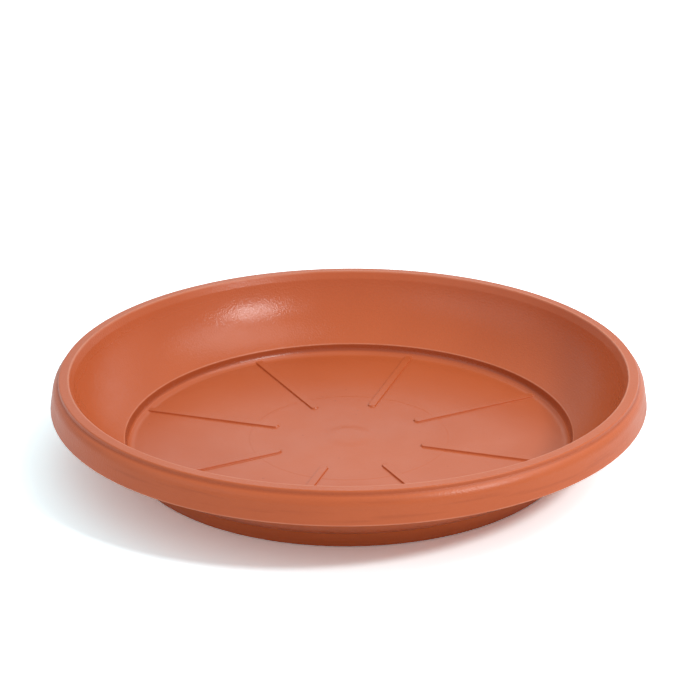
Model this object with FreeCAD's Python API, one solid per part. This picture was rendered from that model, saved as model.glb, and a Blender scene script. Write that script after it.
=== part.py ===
"""Plant saucer (drip tray) for a 300 mm round nursery pot: one injection moulding.

Millimetres, +Z up, centred on the Z axis, standing on Z = 0.
The body is one turned outline: foot, sloped bowl wall, flat lip and a hollow
down-turned skirt.  Eight low radial ribs stand on the floor under the pot.
"""
import FreeCAD, Part
import math
import os

# overall
SKIRT_R = 150.0          # largest radius, at the bottom edge of the skirt
HEIGHT = 44.5            # table to lip
WALL = 1.6               # thickness of the bowl wall
SKIRT_WALL = 1.5

# rim
LIP_IN_R = 140.1         # the lip is a flat ring between these two radii
LIP_OUT_R = 145.1
STEP_R = 145.4           # foot of the small step outside the lip
STEP_DROP = 1.8
SHOULDER_ROUND = 6.0
SHOULDER_START = 62.0    # degrees above level of the surface normal at the step
SKIRT_DRAFT = 10.0       # degrees the skirt leans outwards
SKIRT_BOTTOM_Z = 29.9
CHANNEL_TOP_Z = 42.5     # ceiling of the hollow between bowl and skirt

# bowl
LAND_R = 138.2           # lower edge of the narrow land inside the lip
LAND_Z = 40.4
LEDGE_R = 114.3          # sharp edge where the bowl wall drops to the floor
LEDGE_Z = 9.2
WALL_SAG = 4.0           # how far the bowl wall bows away from a straight line

# floor and foot
FLOOR_TOP = 3.5
FLOOR_UNDER = 1.5        # the floor is lifted off the table by the foot ring
FLOOR_EDGE_R = 109.4     # where the fillet to the wall starts
FLOOR_FILLET = 4.55
DROP_LEAN = 12.0         # degrees the short drop below the ledge leans outwards
FOOT_R = 112.7           # outside of the foot where it meets the table
FOOT_IN_R = 103.5
FOOT_ROUND = 0.8
FOOT_LEAN = 18.4         # degrees the outside of the foot leans outwards
INSERT_R = 51.0          # raised disc left by the round mould insert
INSERT_STEP = 0.08
BOSS_R = 13.5            # low boss over the injection point
BOSS_TOP_R = 8.0
BOSS_HEIGHT = 0.4
GATE_R = 7.0             # matching recess underneath, with the cut-off gate stub in it
GATE_DEPTH = 0.6
STUB_R = 1.6
STUB_LENGTH = 0.5

# ribs
RIB_COUNT = 8
RIB_FIRST = 27.0         # degrees from +X
RIB_IN_R = 40.5          # centre of the rounded inner end
RIB_OUT_R = 112.3        # the outer ends run into the floor fillet
RIB_WIDTH = 4.0
RIB_TOP = 4.4
RIB_ROOT = 2.5           # the ribs start inside the floor


def vec(point):
    """Outline point (radius, height) in the XZ plane."""
    return FreeCAD.Vector(point[0], 0, point[1])


def polar(centre, radius, degrees):
    angle = math.radians(degrees)
    return (centre[0] + radius * math.cos(angle), centre[1] + radius * math.sin(angle))


def bowed_arc(low, high, sag):
    """Centre and radius of the arc from low to high that bows outwards and down by sag."""
    dr, dz = high[0] - low[0], high[1] - low[1]
    chord = math.hypot(dr, dz)
    radius = (chord ** 2 / 4 + sag ** 2) / (2 * sag)
    reach = radius - sag
    centre = ((low[0] + high[0]) / 2 - dz / chord * reach, (low[1] + high[1]) / 2 + dr / chord * reach)
    return centre, radius


def angle_of(centre, point):
    return math.degrees(math.atan2(point[1] - centre[1], point[0] - centre[0]))


class Outline:
    """Closed outline of lines and arcs in the XZ plane."""

    def __init__(self, start):
        self.first = start
        self.last = start
        self.edges = []

    def line(self, *points):
        for point in points:
            self.edges.append(Part.makeLine(vec(self.last), vec(point)))
            self.last = point

    def arc(self, centre, radius, start, end):
        """Arc between two angles; a line joins it to the outline when it starts elsewhere."""
        begin = polar(centre, radius, start)
        if math.dist(begin, self.last) > 1e-6:
            self.line(begin)
        middle = polar(centre, radius, (start + end) / 2)
        finish = polar(centre, radius, end)
        self.edges.append(Part.Arc(vec(self.last), vec(middle), vec(finish)).toShape())
        self.last = finish

    def revolve(self):
        self.line(self.first)
        face = Part.Face(Part.Wire(self.edges))
        return face.revolve(FreeCAD.Vector(0, 0, 0), FreeCAD.Vector(0, 0, 1), 360)


def make_body():
    ledge = (LEDGE_R, LEDGE_Z)
    land = (LAND_R, LAND_Z)
    bow_centre, bow_radius = bowed_arc(ledge, land, WALL_SAG)
    bow_low = angle_of(bow_centre, ledge)
    bow_high = angle_of(bow_centre, land)
    step = (STEP_R, HEIGHT - STEP_DROP)
    shoulder_centre = polar(step, -SHOULDER_ROUND, SHOULDER_START)
    fillet_centre = (FLOOR_EDGE_R, FLOOR_TOP + FLOOR_FILLET)
    insert_top = FLOOR_TOP + INSERT_STEP

    # inside, from the middle of the floor out to the lip
    recess = FLOOR_UNDER + GATE_DEPTH
    body = Outline((0, recess - STUB_LENGTH))
    body.line((0, insert_top + BOSS_HEIGHT), (BOSS_TOP_R, insert_top + BOSS_HEIGHT), (BOSS_R, insert_top))
    body.line((INSERT_R, insert_top), (INSERT_R + INSERT_STEP, FLOOR_TOP))
    body.line((FLOOR_EDGE_R, FLOOR_TOP))
    body.arc(fillet_centre, FLOOR_FILLET, -90, -DROP_LEAN)
    body.line(ledge)
    body.arc(bow_centre, bow_radius, bow_low, bow_high)
    body.line((LIP_IN_R, HEIGHT))

    # lip, step, rounded shoulder and skirt
    body.line((LIP_OUT_R, HEIGHT))
    body.line(step)
    body.arc(shoulder_centre, SHOULDER_ROUND, SHOULDER_START, SKIRT_DRAFT)
    body.line((SKIRT_R, SKIRT_BOTTOM_Z))
    body.line((SKIRT_R - SKIRT_WALL, SKIRT_BOTTOM_Z))

    # hollow under the rim, then the outside of the bowl wall
    body.arc(shoulder_centre, SHOULDER_ROUND - SKIRT_WALL, SKIRT_DRAFT, SHOULDER_START)
    body.line((LIP_IN_R + WALL, CHANNEL_TOP_Z))
    body.arc(bow_centre, bow_radius + WALL, bow_high, bow_low)

    # foot: the outside of the drop, a rounded toe and the ring that stands on the table
    toe_centre = (FOOT_R - FOOT_ROUND, FOOT_ROUND)
    body.arc(toe_centre, FOOT_ROUND, -FOOT_LEAN, -90)
    body.line((FOOT_IN_R + FLOOR_UNDER, 0), (FOOT_IN_R, FLOOR_UNDER))

    # gate recess and stub in the middle of the underside
    body.line((GATE_R + GATE_DEPTH, FLOOR_UNDER), (GATE_R, recess))
    body.line((STUB_R, recess), (STUB_R, recess - STUB_LENGTH))
    return body.revolve()


def make_ribs():
    """Flat-topped radial ribs with rounded inner ends."""
    length = RIB_OUT_R - RIB_IN_R
    height = RIB_TOP - RIB_ROOT
    bar = Part.makeBox(length, RIB_WIDTH, height, FreeCAD.Vector(RIB_IN_R, -RIB_WIDTH / 2, RIB_ROOT))
    nose = Part.makeCylinder(RIB_WIDTH / 2, height, FreeCAD.Vector(RIB_IN_R, 0, RIB_ROOT))
    rib = bar.fuse(nose).removeSplitter()
    ribs = []
    for index in range(RIB_COUNT):
        turned = rib.copy()
        turned.rotate(FreeCAD.Vector(0, 0, 0), FreeCAD.Vector(0, 0, 1), RIB_FIRST + index * 360 / RIB_COUNT)
        ribs.append(turned)
    return ribs


saucer = make_body().multiFuse(make_ribs()).removeSplitter()
if saucer.ShapeType != "Solid":
    saucer = saucer.Solids[0]

os.makedirs("parts", exist_ok=True)
saucer.exportStep("parts/saucer.step")
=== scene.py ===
import math

import bmesh
import bpy
from mathutils import Matrix, Vector


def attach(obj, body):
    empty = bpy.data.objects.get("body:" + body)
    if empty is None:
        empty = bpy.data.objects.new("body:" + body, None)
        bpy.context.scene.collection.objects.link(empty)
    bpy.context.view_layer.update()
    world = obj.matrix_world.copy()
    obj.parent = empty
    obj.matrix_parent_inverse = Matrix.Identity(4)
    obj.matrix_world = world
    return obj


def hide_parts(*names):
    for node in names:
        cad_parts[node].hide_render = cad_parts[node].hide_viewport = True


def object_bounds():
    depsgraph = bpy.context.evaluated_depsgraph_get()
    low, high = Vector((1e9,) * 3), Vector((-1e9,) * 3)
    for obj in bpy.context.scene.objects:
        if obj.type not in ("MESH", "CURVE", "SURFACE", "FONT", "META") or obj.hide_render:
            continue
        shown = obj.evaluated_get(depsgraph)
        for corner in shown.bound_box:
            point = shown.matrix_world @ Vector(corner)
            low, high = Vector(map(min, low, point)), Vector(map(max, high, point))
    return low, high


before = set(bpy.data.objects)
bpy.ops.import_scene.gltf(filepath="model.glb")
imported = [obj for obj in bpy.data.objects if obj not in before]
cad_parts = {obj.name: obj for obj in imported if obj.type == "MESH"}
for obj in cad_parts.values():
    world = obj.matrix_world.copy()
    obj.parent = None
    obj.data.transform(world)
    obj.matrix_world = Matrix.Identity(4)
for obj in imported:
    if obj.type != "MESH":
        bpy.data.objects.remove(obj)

cad_low, cad_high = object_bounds()

MM = 0.001

# Outline of the saucer in millimetres and degrees, the same turned shape as the CAD node.
SKIRT_R = 150.0          # largest radius, at the bottom edge of the skirt
HEIGHT = 44.5
WALL = 1.6
SKIRT_WALL = 1.5
LIP_IN_R = 140.1
LIP_OUT_R = 145.1
STEP_R = 145.4           # foot of the small step outside the lip
STEP_DROP = 1.8
SHOULDER_ROUND = 6.0
SHOULDER_START = 62.0
SKIRT_DRAFT = 10.0
SKIRT_BOTTOM_Z = 29.9
CHANNEL_TOP_Z = 42.5     # ceiling of the hollow between bowl and skirt
LAND_R = 138.2           # lower edge of the narrow land inside the lip
LAND_Z = 40.4
LEDGE_R = 114.3          # sharp edge where the bowl wall drops to the floor
LEDGE_Z = 9.2
WALL_SAG = 4.0
FLOOR_TOP = 3.5
FLOOR_UNDER = 1.5
FLOOR_EDGE_R = 109.4     # where the fillet to the wall starts
FLOOR_FILLET = 4.55
DROP_LEAN = 12.0
FOOT_R = 112.7
FOOT_IN_R = 103.5
INSERT_R = 51.0          # raised disc left by the round mould insert
INSERT_STEP = 0.08
INSERT_FADE = 1.2        # the step of the disc is spread over this width
INSERT_LEAD = 0.5        # and starts this far inside its radius
BOSS_R = 14.5
BOSS_TOP_R = 7.0
BOSS_HEIGHT = 0.4
GATE_R = 7.0
GATE_DEPTH = 0.6
STUB_R = 1.6
STUB_TIP_R = 0.4         # where the flat end of the stub closes to its middle
STUB_LENGTH = 0.5

# Ribs on the floor.
RIB_COUNT = 8
RIB_FIRST = 27.0         # degrees from +X
RIB_IN_R = 40.5
RIB_OUT_R = 112.3
RIB_HALF = 2.0
RIB_TOP = 4.4
RIB_EDGE = 0.2           # half the width of a rib's side face seen from above

# Radii of the rounded edges, in millimetres.
LEDGE_EDGE = 0.35
LAND_EDGE = 1.6
LIP_IN_EDGE = 0.7
LIP_OUT_EDGE = 0.5
STEP_EDGE = 0.45
SKIRT_OUT_EDGE = 0.3
SKIRT_IN_EDGE = 0.5
CHANNEL_EDGE = 0.8
HEEL_EDGE = 0.5
TOE_EDGE = 0.8
RING_EDGE = 0.4
GATE_EDGE = 0.3
STUB_EDGE = 0.2

# Mesh density.
LONGEST_RUN = 5.0        # longest straight step along the outline
HOLD = 0.35              # rows this near the ends keep a straight run flat
HOLD_RUN = 1.6           # shortest run that has such rows
EDGE_STEP = 14           # degrees a step round an edge
EDGE_STEPS = 3           # fewest steps round an edge
CUT_SHARE = 0.45         # most of a run that the rounding at one end may use
SHOULDER_SKIP = 3        # degrees of the shoulder left to the rounded foot of the step
ROWS_PAST_FILLET = 4     # rows past the fillet that can still lie under a rib
PARALLEL_R = 38.0        # outside this radius the columns at a rib run along it
GAP_STEPS = 15           # columns from one rib to the next
RIB_COLUMNS = (0.9, 1.4, 1.65, 1.76, 1.84, 1.91, 1.97, 2.03, 2.09, 2.16, 2.24, 2.36, 2.6, 3.2)

# Plastic: pigment colours, the colours of painted shade and painted highlights, and gloss.
PIGMENT_MID = (0.485, 0.105, 0.030, 1)
PIGMENT_DEEP = (0.465, 0.098, 0.028, 1)
PIGMENT_LIGHT = (0.500, 0.110, 0.033, 1)
# Darker flow streaks and pits, and painted shade in the drop below the ledge and the step outside the lip.
PIGMENT_DARK_MARKS_AND_SHADE = (0.34, 0.066, 0.019, 1)
# Pale dust on scuffs, and painted highlight lines along the edges.
PIGMENT_DUST_AND_HIGHLIGHT = (0.62, 0.24, 0.14, 1)
ROUGHNESS = 0.21
FLOOR_MATT = 0.12        # added to the roughness on the floor,
RIM_MATT = 0.13          # past the wall,
SCUFF_MATT = 0.15        # on scuffs
FLOW_MATT = 0.12         # and along flow marks
WIPED = 0.035            # rise and fall of the roughness in handled patches
GLOSS = 0.36
PLASTIC_IOR = 1.5

# Relief of the surface, in millimetres.
ERODED_GRAIN = 0.12
FLOOR_GRAIN = 0.02
ORANGE_PEEL = 0.012
TURNED_MARKS = 0.010
FLOW_MARKS = 0.010

# Size of each pattern, as noise cells across a metre.
WEAR_CELLS = 60.0
DRIFT_CELLS = 11.0
MOTTLE_CELLS = 240.0
FLOW_CELLS = (22.0, 22.0, 420.0)
PIT_CELLS = 320.0
SCUFF_CELLS = 95.0
SCUFF_TURN = 0.5         # radians
SCUFF_STRETCH = (1.0, 4.5, 1.0)
PATCH_CELLS = 17.0
GRAIN_CELLS = 950.0
PEEL_CELLS = 160.0
TURNED_CELLS = 900.0
WIPED_CELLS = 30.0

# Studio: brightness of the sheet in view, of the sheet that lights the saucer, and of the tent.
FLOOR_WHITE = (1.45, 1.69, 1.75, 1)
FLOOR_BOUNCE = (0.92, 0.92, 0.92, 1)
SHEET_SIZE = 8.0
SHEET_GAP = 0.0001
TENT = 0.68
LIGHT_DISTANCE = 1.5

# Camera, in metres, degrees and millimetres.
CAMERA_ELEVATION = 24.101
CAMERA_DISTANCE = 0.88315
CAMERA_LENS = 88.554
CAMERA_SENSOR = 36.0
CAMERA_ROLL = -0.005583  # radians
PIVOT_HEIGHT = 0.0145    # the point it is turned about, above the table
AIM_RIGHT = 0.0008       # the point it looks at, from there
AIM_ABOVE = 0.03675

# The CAD box sets the scale and place of everything.
size = (cad_high.x - cad_low.x) / 2 / SKIRT_R
centre = Vector(((cad_low.x + cad_high.x) / 2, (cad_low.y + cad_high.y) / 2, cad_low.z))
z_size = (cad_high.z - cad_low.z) / HEIGHT


def polar(middle, radius, degrees):
    angle = math.radians(degrees)
    return (middle[0] + radius * math.cos(angle), middle[1] + radius * math.sin(angle))


def smooth(t):
    t = min(max(t, 0.0), 1.0)
    return t * t * (3 - 2 * t)


def spaced(start, step, count):
    return [start + step * i for i in range(count)]


def bowed_arc(low, high, sag):
    """Centre and radius of the arc from low to high that bows outwards and down by sag."""
    dr, dz = high[0] - low[0], high[1] - low[1]
    chord = math.hypot(dr, dz)
    radius = (chord ** 2 / 4 + sag ** 2) / (2 * sag)
    reach = radius - sag
    middle = ((low[0] + high[0]) / 2 - dz / chord * reach, (low[1] + high[1]) / 2 + dr / chord * reach)
    return middle, radius


def angle_of(middle, point):
    return math.degrees(math.atan2(point[1] - middle[1], point[0] - middle[0]))


def arc_points(middle, radius, start, end, count):
    return [polar(middle, radius, start + (end - start) * i / (count - 1)) for i in range(count)]


def rounded_corner(before, here, after, edge):
    """Points of the arc of radius edge that rounds the corner at here."""
    before, here, after = Vector(before), Vector(here), Vector(after)
    back, on = before - here, after - here
    half = back.angle(on) / 2
    cut = min(edge / math.tan(half), back.length * CUT_SHARE, on.length * CUT_SHARE)
    edge = cut * math.tan(half)
    towards = (back.normalized() + on.normalized()).normalized()
    middle = here + towards * (edge / math.sin(half))
    first = here + back.normalized() * cut - middle
    second = here + on.normalized() * cut - middle
    turn = first.angle_signed(second)
    steps = max(EDGE_STEPS, round(math.degrees(abs(turn)) / EDGE_STEP))
    arc = []
    for k in range(steps + 1):
        spot = middle + Matrix.Rotation(-turn * k / steps, 2) @ first
        arc.append((spot.x, spot.y))
    return arc


def divided_run(start, end):
    """Points between start and end, which are left out."""
    start, end = Vector(start), Vector(end)
    length = (end - start).length
    points = []
    if length > HOLD_RUN:
        points.append(tuple(start.lerp(end, HOLD / length)))
    pieces = max(1, math.ceil(length / LONGEST_RUN))
    for k in range(1, pieces):
        points.append(tuple(start.lerp(end, k / pieces)))
    if length > HOLD_RUN:
        points.append(tuple(start.lerp(end, 1 - HOLD / length)))
    return points


def rounded(points):
    """Polyline through (r, z, edge) corners: rounded corners with divided runs between them."""
    last = len(points) - 1
    corners = []
    for i, (r, z, edge) in enumerate(points):
        if i in (0, last) or edge == 0:
            corners.append([(r, z)])
        else:
            corners.append(rounded_corner(points[i - 1][:2], (r, z), points[i + 1][:2], edge))
    line = list(corners[0])
    for arc in corners[1:]:
        line += divided_run(line[-1], arc[0])
        line += arc
    return line


def floor_radii():
    """Rows of the floor, close together over the boss, the rib noses and the edge of the disc."""
    radii = [1.0, 2.0, 3.2, 4.4]
    radii += spaced(5.0, 0.7, 13)
    radii += [14.1, 14.8, 17.0, 22.0, 28.0, 34.0, 36.5, 37.6]
    radii += spaced(38.05, 0.12, 28)
    radii += [42.2, 44.0, 47.0, 49.8]
    radii += spaced(50.4, 0.2, 8)
    radii += [52.5, 56.0]
    radii += spaced(62.0, 6.0, 8)
    radii += [107.0, 108.3]
    return radii


def outline():
    """Rows of the turned shape: those of the floor, and all of them out over the rim and back underneath."""
    ledge, land = (LEDGE_R, LEDGE_Z), (LAND_R, LAND_Z)
    bow, bow_radius = bowed_arc(ledge, land, WALL_SAG)
    bow_low, bow_high = angle_of(bow, ledge), angle_of(bow, land)
    step = (STEP_R, HEIGHT - STEP_DROP)
    shoulder = polar(step, -SHOULDER_ROUND, SHOULDER_START)

    rows = []
    for r in floor_radii():
        z = FLOOR_TOP + INSERT_STEP * (1 - smooth((r - INSERT_R + INSERT_LEAD) / INSERT_FADE))
        z += BOSS_HEIGHT * (1 - smooth((r - BOSS_TOP_R) / (BOSS_R - BOSS_TOP_R)))
        rows.append((r, z))
    fillet = (FLOOR_EDGE_R, FLOOR_TOP + FLOOR_FILLET)
    rows += arc_points(fillet, FLOOR_FILLET, -90, -DROP_LEAN, 12)
    tail = rows.pop()

    # Up the wall to the lip, over the shoulder and down the skirt.
    line = [(*tail, 0), (*ledge, LEDGE_EDGE)]
    wall = arc_points(bow, bow_radius, bow_low, bow_high, 26)
    line += [(*p, 0) for p in wall[1:-1]]
    line += [(*land, LAND_EDGE), (LIP_IN_R, HEIGHT, LIP_IN_EDGE)]
    line += [(LIP_OUT_R, HEIGHT, LIP_OUT_EDGE), (*step, STEP_EDGE)]
    outside = arc_points(shoulder, SHOULDER_ROUND, SHOULDER_START - SHOULDER_SKIP, SKIRT_DRAFT, 14)
    line += [(*p, 0) for p in outside]
    line += [(SKIRT_R, SKIRT_BOTTOM_Z, SKIRT_OUT_EDGE)]
    line += [(SKIRT_R - SKIRT_WALL, SKIRT_BOTTOM_Z, SKIRT_IN_EDGE)]

    # The hollow under the rim and the outside of the wall.
    hollow = arc_points(shoulder, SHOULDER_ROUND - SKIRT_WALL, SKIRT_DRAFT, SHOULDER_START, 10)
    line += [(*p, 0) for p in hollow]
    line += [(LIP_IN_R + WALL, CHANNEL_TOP_Z, CHANNEL_EDGE)]
    under = arc_points(bow, bow_radius + WALL, bow_high, bow_low, 22)
    line += [(*under[0], LAND_EDGE)]
    line += [(*p, 0) for p in under[1:-1]]
    line += [(*under[-1], HEEL_EDGE)]

    # The foot ring, the underside of the floor and the gate.
    line += [(FOOT_R, 0, TOE_EDGE), (FOOT_IN_R + FLOOR_UNDER, 0, RING_EDGE)]
    line += [(FOOT_IN_R, FLOOR_UNDER, RING_EDGE), (GATE_R + GATE_DEPTH, FLOOR_UNDER, GATE_EDGE)]
    recess = FLOOR_UNDER + GATE_DEPTH
    line += [(GATE_R, recess, GATE_EDGE), (STUB_R, recess, STUB_EDGE)]
    line += [(STUB_R, recess - STUB_LENGTH, STUB_EDGE), (STUB_TIP_R, recess - STUB_LENGTH, 0)]
    return rows, rows + rounded(line)


def columns():
    """Each column is a rib's number and a distance from its middle line, or a share of the gap after it."""
    offsets = [-d for d in reversed(RIB_COLUMNS)] + [0.0] + list(RIB_COLUMNS)
    made = []
    for rib in range(RIB_COUNT):
        made += [(rib, d, None) for d in offsets]
        made += [(rib, offsets[-1], k / GAP_STEPS) for k in range(1, GAP_STEPS)]
    return made


def azimuth(column, r):
    """Angle of a column in the row of radius r."""
    rib, offset, share = column
    reach = min(max(r, PARALLEL_R), RIB_OUT_R)
    turn = 2 * math.pi / RIB_COUNT
    angle = math.asin(offset / reach)
    if share is not None:
        angle += (turn - 2 * angle) * share
    return math.radians(RIB_FIRST) + rib * turn + angle


def rib_height(r, z, angle):
    """Floor height with the ribs on it."""
    turn = 2 * math.pi / RIB_COUNT
    away = (angle - math.radians(RIB_FIRST) + turn / 2) % turn - turn / 2
    along, across = r * math.cos(away), r * math.sin(away)
    distance = math.hypot(min(along - RIB_IN_R, 0), across) - RIB_HALF
    raised = smooth((RIB_EDGE - distance) / (2 * RIB_EDGE))
    return z + raised * max(RIB_TOP - z, 0)


def saucer_vertices(lines):
    """Points of the rows in turn, between a point in the middle of the floor and one underneath."""
    floor_rows, rows = outline()
    ribbed = len(floor_rows) + ROWS_PAST_FILLET
    verts = [(0, 0, rows[0][1])]
    for index, (r, z) in enumerate(rows):
        for column in lines:
            angle = azimuth(column, r)
            high = rib_height(r, z, angle) if index < ribbed else z
            verts.append((r * math.cos(angle), r * math.sin(angle), high))
    verts.append((0, 0, rows[-1][1]))
    return verts, len(rows)


def saucer_faces(count, row_count):
    """A fan in the middle, quads from row to row, and a fan underneath."""
    faces = [(0, 1 + k, 1 + (k + 1) % count) for k in range(count)]
    for index in range(row_count - 1):
        base, above = 1 + index * count, 1 + (index + 1) * count
        for k in range(count):
            nxt = (k + 1) % count
            faces.append((base + k, above + k, above + nxt, base + nxt))
    base = 1 + (row_count - 1) * count
    end = base + count
    faces += [(end, base + (k + 1) % count, base + k) for k in range(count)]
    return faces


def face_outwards(mesh):
    bm = bmesh.new()
    bm.from_mesh(mesh)
    bmesh.ops.recalc_face_normals(bm, faces=bm.faces)
    bm.to_mesh(mesh)
    bm.free()


def build_saucer():
    lines = columns()
    verts, row_count = saucer_vertices(lines)
    placed = [(centre.x + x * size, centre.y + y * size, centre.z + z * z_size) for x, y, z in verts]
    mesh = bpy.data.meshes.new("saucer_shell")
    mesh.from_pydata(placed, [], saucer_faces(len(lines), row_count))
    mesh.update()
    mesh.shade_smooth()
    face_outwards(mesh)
    obj = bpy.data.objects.new("saucer_shell", mesh)
    bpy.context.scene.collection.objects.link(obj)
    return obj


class Nodes:
    """Small helper that adds and links shader nodes."""

    def __init__(self, name):
        self.material = bpy.data.materials.new(name)
        self.material.use_nodes = True
        self.tree = self.material.node_tree
        self.tree.nodes.clear()

    def add(self, kind, inputs=None, **settings):
        node = self.tree.nodes.new(kind)
        for key, value in settings.items():
            setattr(node, key, value)
        for key, value in (inputs or {}).items():
            if isinstance(value, bpy.types.NodeSocket):
                self.tree.links.new(value, node.inputs[key])
            else:
                node.inputs[key].default_value = value
        return node

    def math(self, operation, a, b=0.0, clamp=False):
        return self.add("ShaderNodeMath", {0: a, 1: b}, operation=operation, use_clamp=clamp).outputs[0]

    def times(self, first, *others):
        for other in others:
            first = self.math("MULTIPLY", first, other)
        return first

    def plus(self, first, *others):
        for other in others:
            first = self.math("ADD", first, other)
        return first

    def minus(self, a, b):
        return self.math("SUBTRACT", a, b)

    def noise(self, vector, cells, detail=3.0, rough=0.5):
        return self.add("ShaderNodeTexNoise", {"Vector": vector, "Scale": cells, "Detail": detail,
                                               "Roughness": rough}).outputs["Fac"]

    def ramp(self, value, low, high, out_low=0.0, out_high=1.0):
        return self.add("ShaderNodeMapRange", {"Value": value, "From Min": low, "From Max": high,
                                               "To Min": out_low, "To Max": out_high},
                        interpolation_type="SMOOTHSTEP").outputs["Result"]

    def ramp_mm(self, value, low, high):
        """0 to 1 between two distances in millimetres."""
        return self.ramp(value, low * MM, high * MM)

    def band(self, value, middle, reach):
        """1 where value is at middle, fading to 0 at reach either side, in millimetres."""
        away = self.math("ABSOLUTE", self.minus(value, middle * MM))
        reach = reach * MM
        return self.ramp(away, reach * 0.3, reach, 1.0, 0.0)

    def mix(self, share, first, second):
        return self.add("ShaderNodeMix", {0: share, 6: first, 7: second}, data_type="RGBA").outputs[2]


def painted_edge_highlights(n, place, radius, height):
    """Painted highlight lines where the skirt bottom, the lip inside and the ledge over the floor catch the
    light.
    """
    at_skirt = n.ramp_mm(radius, SKIRT_R - 1.2, SKIRT_R - 0.6)
    skirt_highlight = n.times(n.band(height, SKIRT_BOTTOM_Z, 0.9), at_skirt)
    lip_highlight = n.times(n.band(radius, LIP_IN_R + 0.2, 0.8), n.ramp_mm(height, HEIGHT - 1.2, HEIGHT - 0.6))
    ledge_highlight = n.times(n.band(radius, LEDGE_R, 0.7), n.band(height, LEDGE_Z + 0.3, 0.9))
    edge_highlights = n.plus(skirt_highlight, n.plus(lip_highlight, ledge_highlight))
    return n.times(edge_highlights, n.ramp(n.noise(place, WEAR_CELLS, 3.0, 0.6), 0.25, 0.6, 0.25, 0.5))


def painted_shade_bands(n, radius, height):
    """Painted shade in the short drop below the ledge and, less so, in the step outside the lip."""
    # Painted shade in the drop below the ledge.
    drop = n.times(n.ramp_mm(radius, FLOOR_EDGE_R + 2.6, FLOOR_EDGE_R + 4.2),
                   n.ramp_mm(radius, LEDGE_R + 0.05, LEDGE_R - 0.2),
                   n.ramp_mm(height, FLOOR_TOP + 1.2, FLOOR_TOP + 2.4),
                   n.ramp_mm(height, LEDGE_Z + 0.1, LEDGE_Z - 0.3))
    # Painted shade in the step outside the lip.
    step = n.times(n.band(radius, LIP_OUT_R + 0.5, 1.0), n.band(height, HEIGHT - STEP_DROP * 0.8, 1.4))
    return n.math("ADD", drop, n.times(step, 0.55), clamp=True)


def scuffs(n, place, on_floor):
    """Smears left by pots, in patches on the floor."""
    stretched = n.add("ShaderNodeMapping", {"Vector": place, "Rotation": (0, 0, SCUFF_TURN),
                                            "Scale": SCUFF_STRETCH}).outputs[0]
    smear = n.ramp(n.noise(stretched, SCUFF_CELLS, 5.0, 0.72), 0.63, 0.80)
    patch = n.ramp(n.noise(place, PATCH_CELLS, 1.0, 0.5), 0.52, 0.66)
    return n.times(smear, patch, on_floor)


def pigment(n, place, radius, height, on_floor, flow, smear):
    """Broad drifts of tone, small mottling, painted shade in the drop and step, flow streaks, pits, pale dust
    on scuffs and painted highlight lines on the edges.
    """
    drift = n.ramp(n.noise(place, DRIFT_CELLS, 3.0, 0.55), 0.3, 0.7)
    mottle = n.ramp(n.noise(place, MOTTLE_CELLS, 3.0, 0.6), 0.35, 0.65)
    shade = n.mix(drift, PIGMENT_DEEP, PIGMENT_LIGHT)
    shade = n.mix(n.times(mottle, 0.22), shade, PIGMENT_MID)
    # Painted shade in the drop below the ledge and in the step outside the lip.
    shade = n.mix(painted_shade_bands(n, radius, height), shade, PIGMENT_DARK_MARKS_AND_SHADE)
    on_skirt = n.ramp_mm(radius, LIP_OUT_R + 1.2, LIP_OUT_R + 3.0)
    streak = n.times(n.ramp(flow, 0.52, 0.72, 0.20, 0.52), on_skirt)
    shade = n.mix(streak, shade, PIGMENT_DARK_MARKS_AND_SHADE)
    pits = n.ramp(n.noise(place, PIT_CELLS, 2.0, 0.5), 0.73, 0.77)
    shade = n.mix(n.times(pits, on_floor, 0.6), shade, PIGMENT_DARK_MARKS_AND_SHADE)
    # Pale dust on scuffs and painted highlight lines along the edges.
    pale_dust_and_highlight = n.math("ADD", n.times(smear, 0.35), painted_edge_highlights(n, place, radius, height), clamp=True)
    return n.mix(pale_dust_and_highlight, shade, PIGMENT_DUST_AND_HIGHLIGHT)


def relief(n, place, radius, past_floor, on_floor, rim_flow):
    """Height of the surface in metres: eroded grain, orange peel, turned marks and flow marks."""
    grain = n.minus(n.noise(place, GRAIN_CELLS, 3.0, 0.6), 0.5)
    depth = n.plus(n.times(past_floor, ERODED_GRAIN * MM), FLOOR_GRAIN * MM)
    orange_peel = n.minus(n.noise(place, PEEL_CELLS, 2.0, 0.5), 0.5)
    turned_at = n.add("ShaderNodeCombineXYZ", {"X": n.times(radius, TURNED_CELLS)}).outputs[0]
    turned = n.minus(n.noise(turned_at, 1.0, 3.0, 0.6), 0.5)
    return n.plus(n.times(grain, depth),
                  n.times(orange_peel, ORANGE_PEEL * MM),
                  n.times(turned, on_floor, TURNED_MARKS * MM),
                  n.times(rim_flow, FLOW_MARKS * MM))


def roughness(n, place, on_floor, past_wall, smear, rim_flow):
    """Matter on the floor and rim, with handled and wiped patches."""
    wiped = n.ramp(n.noise(place, WIPED_CELLS, 4.0, 0.6), 0.3, 0.7, -WIPED, WIPED)
    return n.plus(wiped, ROUGHNESS,
                  n.times(on_floor, FLOOR_MATT),
                  n.times(past_wall, RIM_MATT),
                  n.times(smear, SCUFF_MATT),
                  n.times(rim_flow, FLOW_MATT))


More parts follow.
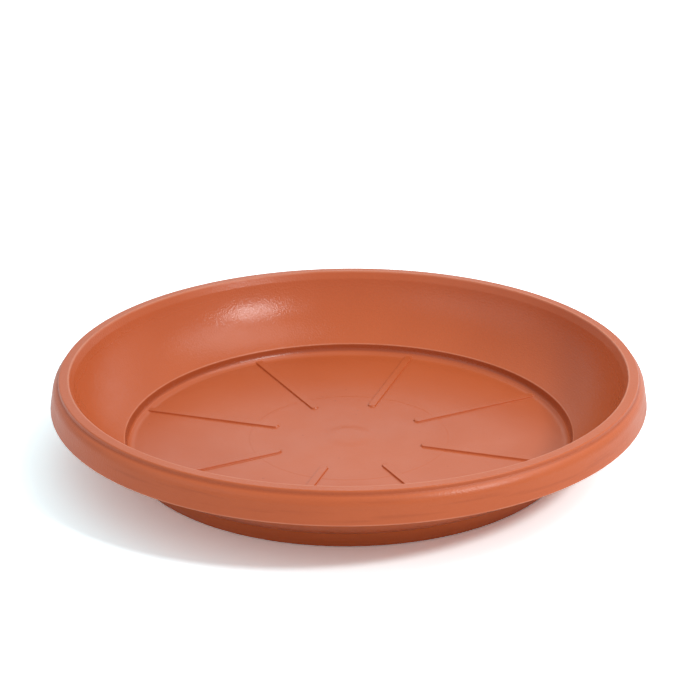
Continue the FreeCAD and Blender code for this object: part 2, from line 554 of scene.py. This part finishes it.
def plastic():
    """Moulded plastic: spark-eroded grain on the wall, turned marks on the floor, flow marks on the skirt."""
    n = Nodes("terracotta_plastic")
    place = n.add("ShaderNodeTexCoord").outputs["Object"]
    parts = n.add("ShaderNodeSeparateXYZ", {0: place}).outputs
    flat = n.add("ShaderNodeCombineXYZ", {"X": parts["X"], "Y": parts["Y"]}).outputs[0]
    radius = n.add("ShaderNodeVectorMath", {0: flat}, operation="LENGTH").outputs["Value"]

    # Where each finish lies, by distance from the middle.
    past_floor = n.ramp_mm(radius, LEDGE_R - 2.6, LEDGE_R - 0.6)
    past_wall = n.ramp_mm(radius, LAND_R - 3.0, LAND_R + 0.5)
    on_floor = n.minus(1.0, past_floor)

    flow_at = n.add("ShaderNodeMapping", {"Vector": place, "Scale": FLOW_CELLS}).outputs[0]
    flow = n.noise(flow_at, 1.0, 4.0, 0.55)
    rim_flow = n.times(n.minus(flow, 0.5), past_wall)
    smear = scuffs(n, place, on_floor)

    shade = pigment(n, place, radius, parts["Z"], on_floor, flow, smear)
    bumps = relief(n, place, radius, past_floor, on_floor, rim_flow)
    bump = n.add("ShaderNodeBump", {"Strength": 1.0, "Distance": 1.0, "Height": bumps})
    rough = roughness(n, place, on_floor, past_wall, smear, rim_flow)
    bsdf = n.add("ShaderNodeBsdfPrincipled", {"Base Color": shade, "Roughness": rough,
                                              "Normal": bump.outputs["Normal"], "IOR": PLASTIC_IOR,
                                              "Specular IOR Level": GLOSS})
    n.add("ShaderNodeOutputMaterial", {"Surface": bsdf.outputs[0]})
    return n.material


def build_sheet(name, drop, white):
    """Pale matt sheet under the saucer."""
    bpy.ops.mesh.primitive_plane_add(size=SHEET_SIZE, location=(centre.x, centre.y, centre.z - drop))
    sheet = bpy.context.object
    sheet.name = name
    n = Nodes(name + "_finish")
    matt = n.add("ShaderNodeBsdfDiffuse", {"Color": white})
    n.add("ShaderNodeOutputMaterial", {"Surface": matt.outputs[0]})
    sheet.data.materials.append(n.material)
    return sheet


def build_floor():
    """The floor in view is exposed past white, and the one under it is what throws light back up."""
    seen = build_sheet("studio_floor", 0.0, FLOOR_WHITE)
    seen.visible_diffuse = False
    seen.visible_glossy = False
    seen.visible_shadow = False
    bounce = build_sheet("studio_bounce", SHEET_GAP, FLOOR_BOUNCE)
    bounce.visible_camera = False


def area_light(name, width, watts, azimuth_deg, elevation_deg):
    """Round soft light that faces the saucer."""
    light = bpy.data.lights.new(name, "AREA")
    light.shape = "DISK"
    light.size = width
    light.energy = watts
    obj = bpy.data.objects.new(name, light)
    a, e = math.radians(azimuth_deg), math.radians(elevation_deg)
    aim = Vector((math.cos(a) * math.cos(e), math.sin(a) * math.cos(e), math.sin(e)))
    obj.location = centre + aim * LIGHT_DISTANCE
    obj.rotation_mode = "QUATERNION"
    obj.rotation_quaternion = aim.to_track_quat("Z", "Y")
    bpy.context.scene.collection.objects.link(obj)


def build_lights():
    """Broad lights from the right and fills all round, and a small one for the highlight on the wall."""
    area_light("right_high", 0.9, 4.6, 0, 62)
    area_light("right_mid", 0.5, 1.2, 0, 45)
    area_light("front_left", 0.8, 1.0, -135, 32)
    area_light("left_fill", 1.0, 1.2, -165, 26)
    area_light("back_low", 0.8, 1.3, 90, 32)
    area_light("back_right_low", 1.2, 1.7, 52, 7)
    area_light("key_small", 0.20, 8.5, -37, 40.5)


def build_world():
    """Even white tent all round."""
    world = bpy.data.worlds.new("studio")
    world.use_nodes = True
    glow = world.node_tree.nodes["Background"]
    glow.inputs["Color"].default_value = (1, 1, 1, 1)
    glow.inputs["Strength"].default_value = TENT
    bpy.context.scene.world = world
    bpy.context.scene.view_settings.view_transform = "Standard"
    bpy.context.scene.view_settings.look = "None"


def build_camera():
    """Camera in front and above, with a long lens, a little under a metre away."""
    elevation = math.radians(CAMERA_ELEVATION)
    pivot = centre + Vector((0, 0, PIVOT_HEIGHT))
    aim = pivot + Vector((AIM_RIGHT, 0, AIM_ABOVE))
    spot = pivot + Vector((0, -CAMERA_DISTANCE * math.cos(elevation), CAMERA_DISTANCE * math.sin(elevation)))
    camera = bpy.data.cameras.new("camera")
    camera.sensor_width = CAMERA_SENSOR
    camera.lens = CAMERA_LENS
    obj = bpy.data.objects.new("camera", camera)
    obj.location = spot
    obj.rotation_mode = "QUATERNION"
    look = (aim - spot).to_track_quat("-Z", "Y")
    roll = Matrix.Rotation(CAMERA_ROLL, 3, "Z").to_quaternion()
    obj.rotation_quaternion = look @ roll
    bpy.context.scene.collection.objects.link(obj)
    bpy.context.scene.camera = obj


saucer = build_saucer()
saucer.data.materials.append(plastic())
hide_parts("saucer")
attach(saucer, "root")

build_floor()
build_lights()
build_world()
build_camera()
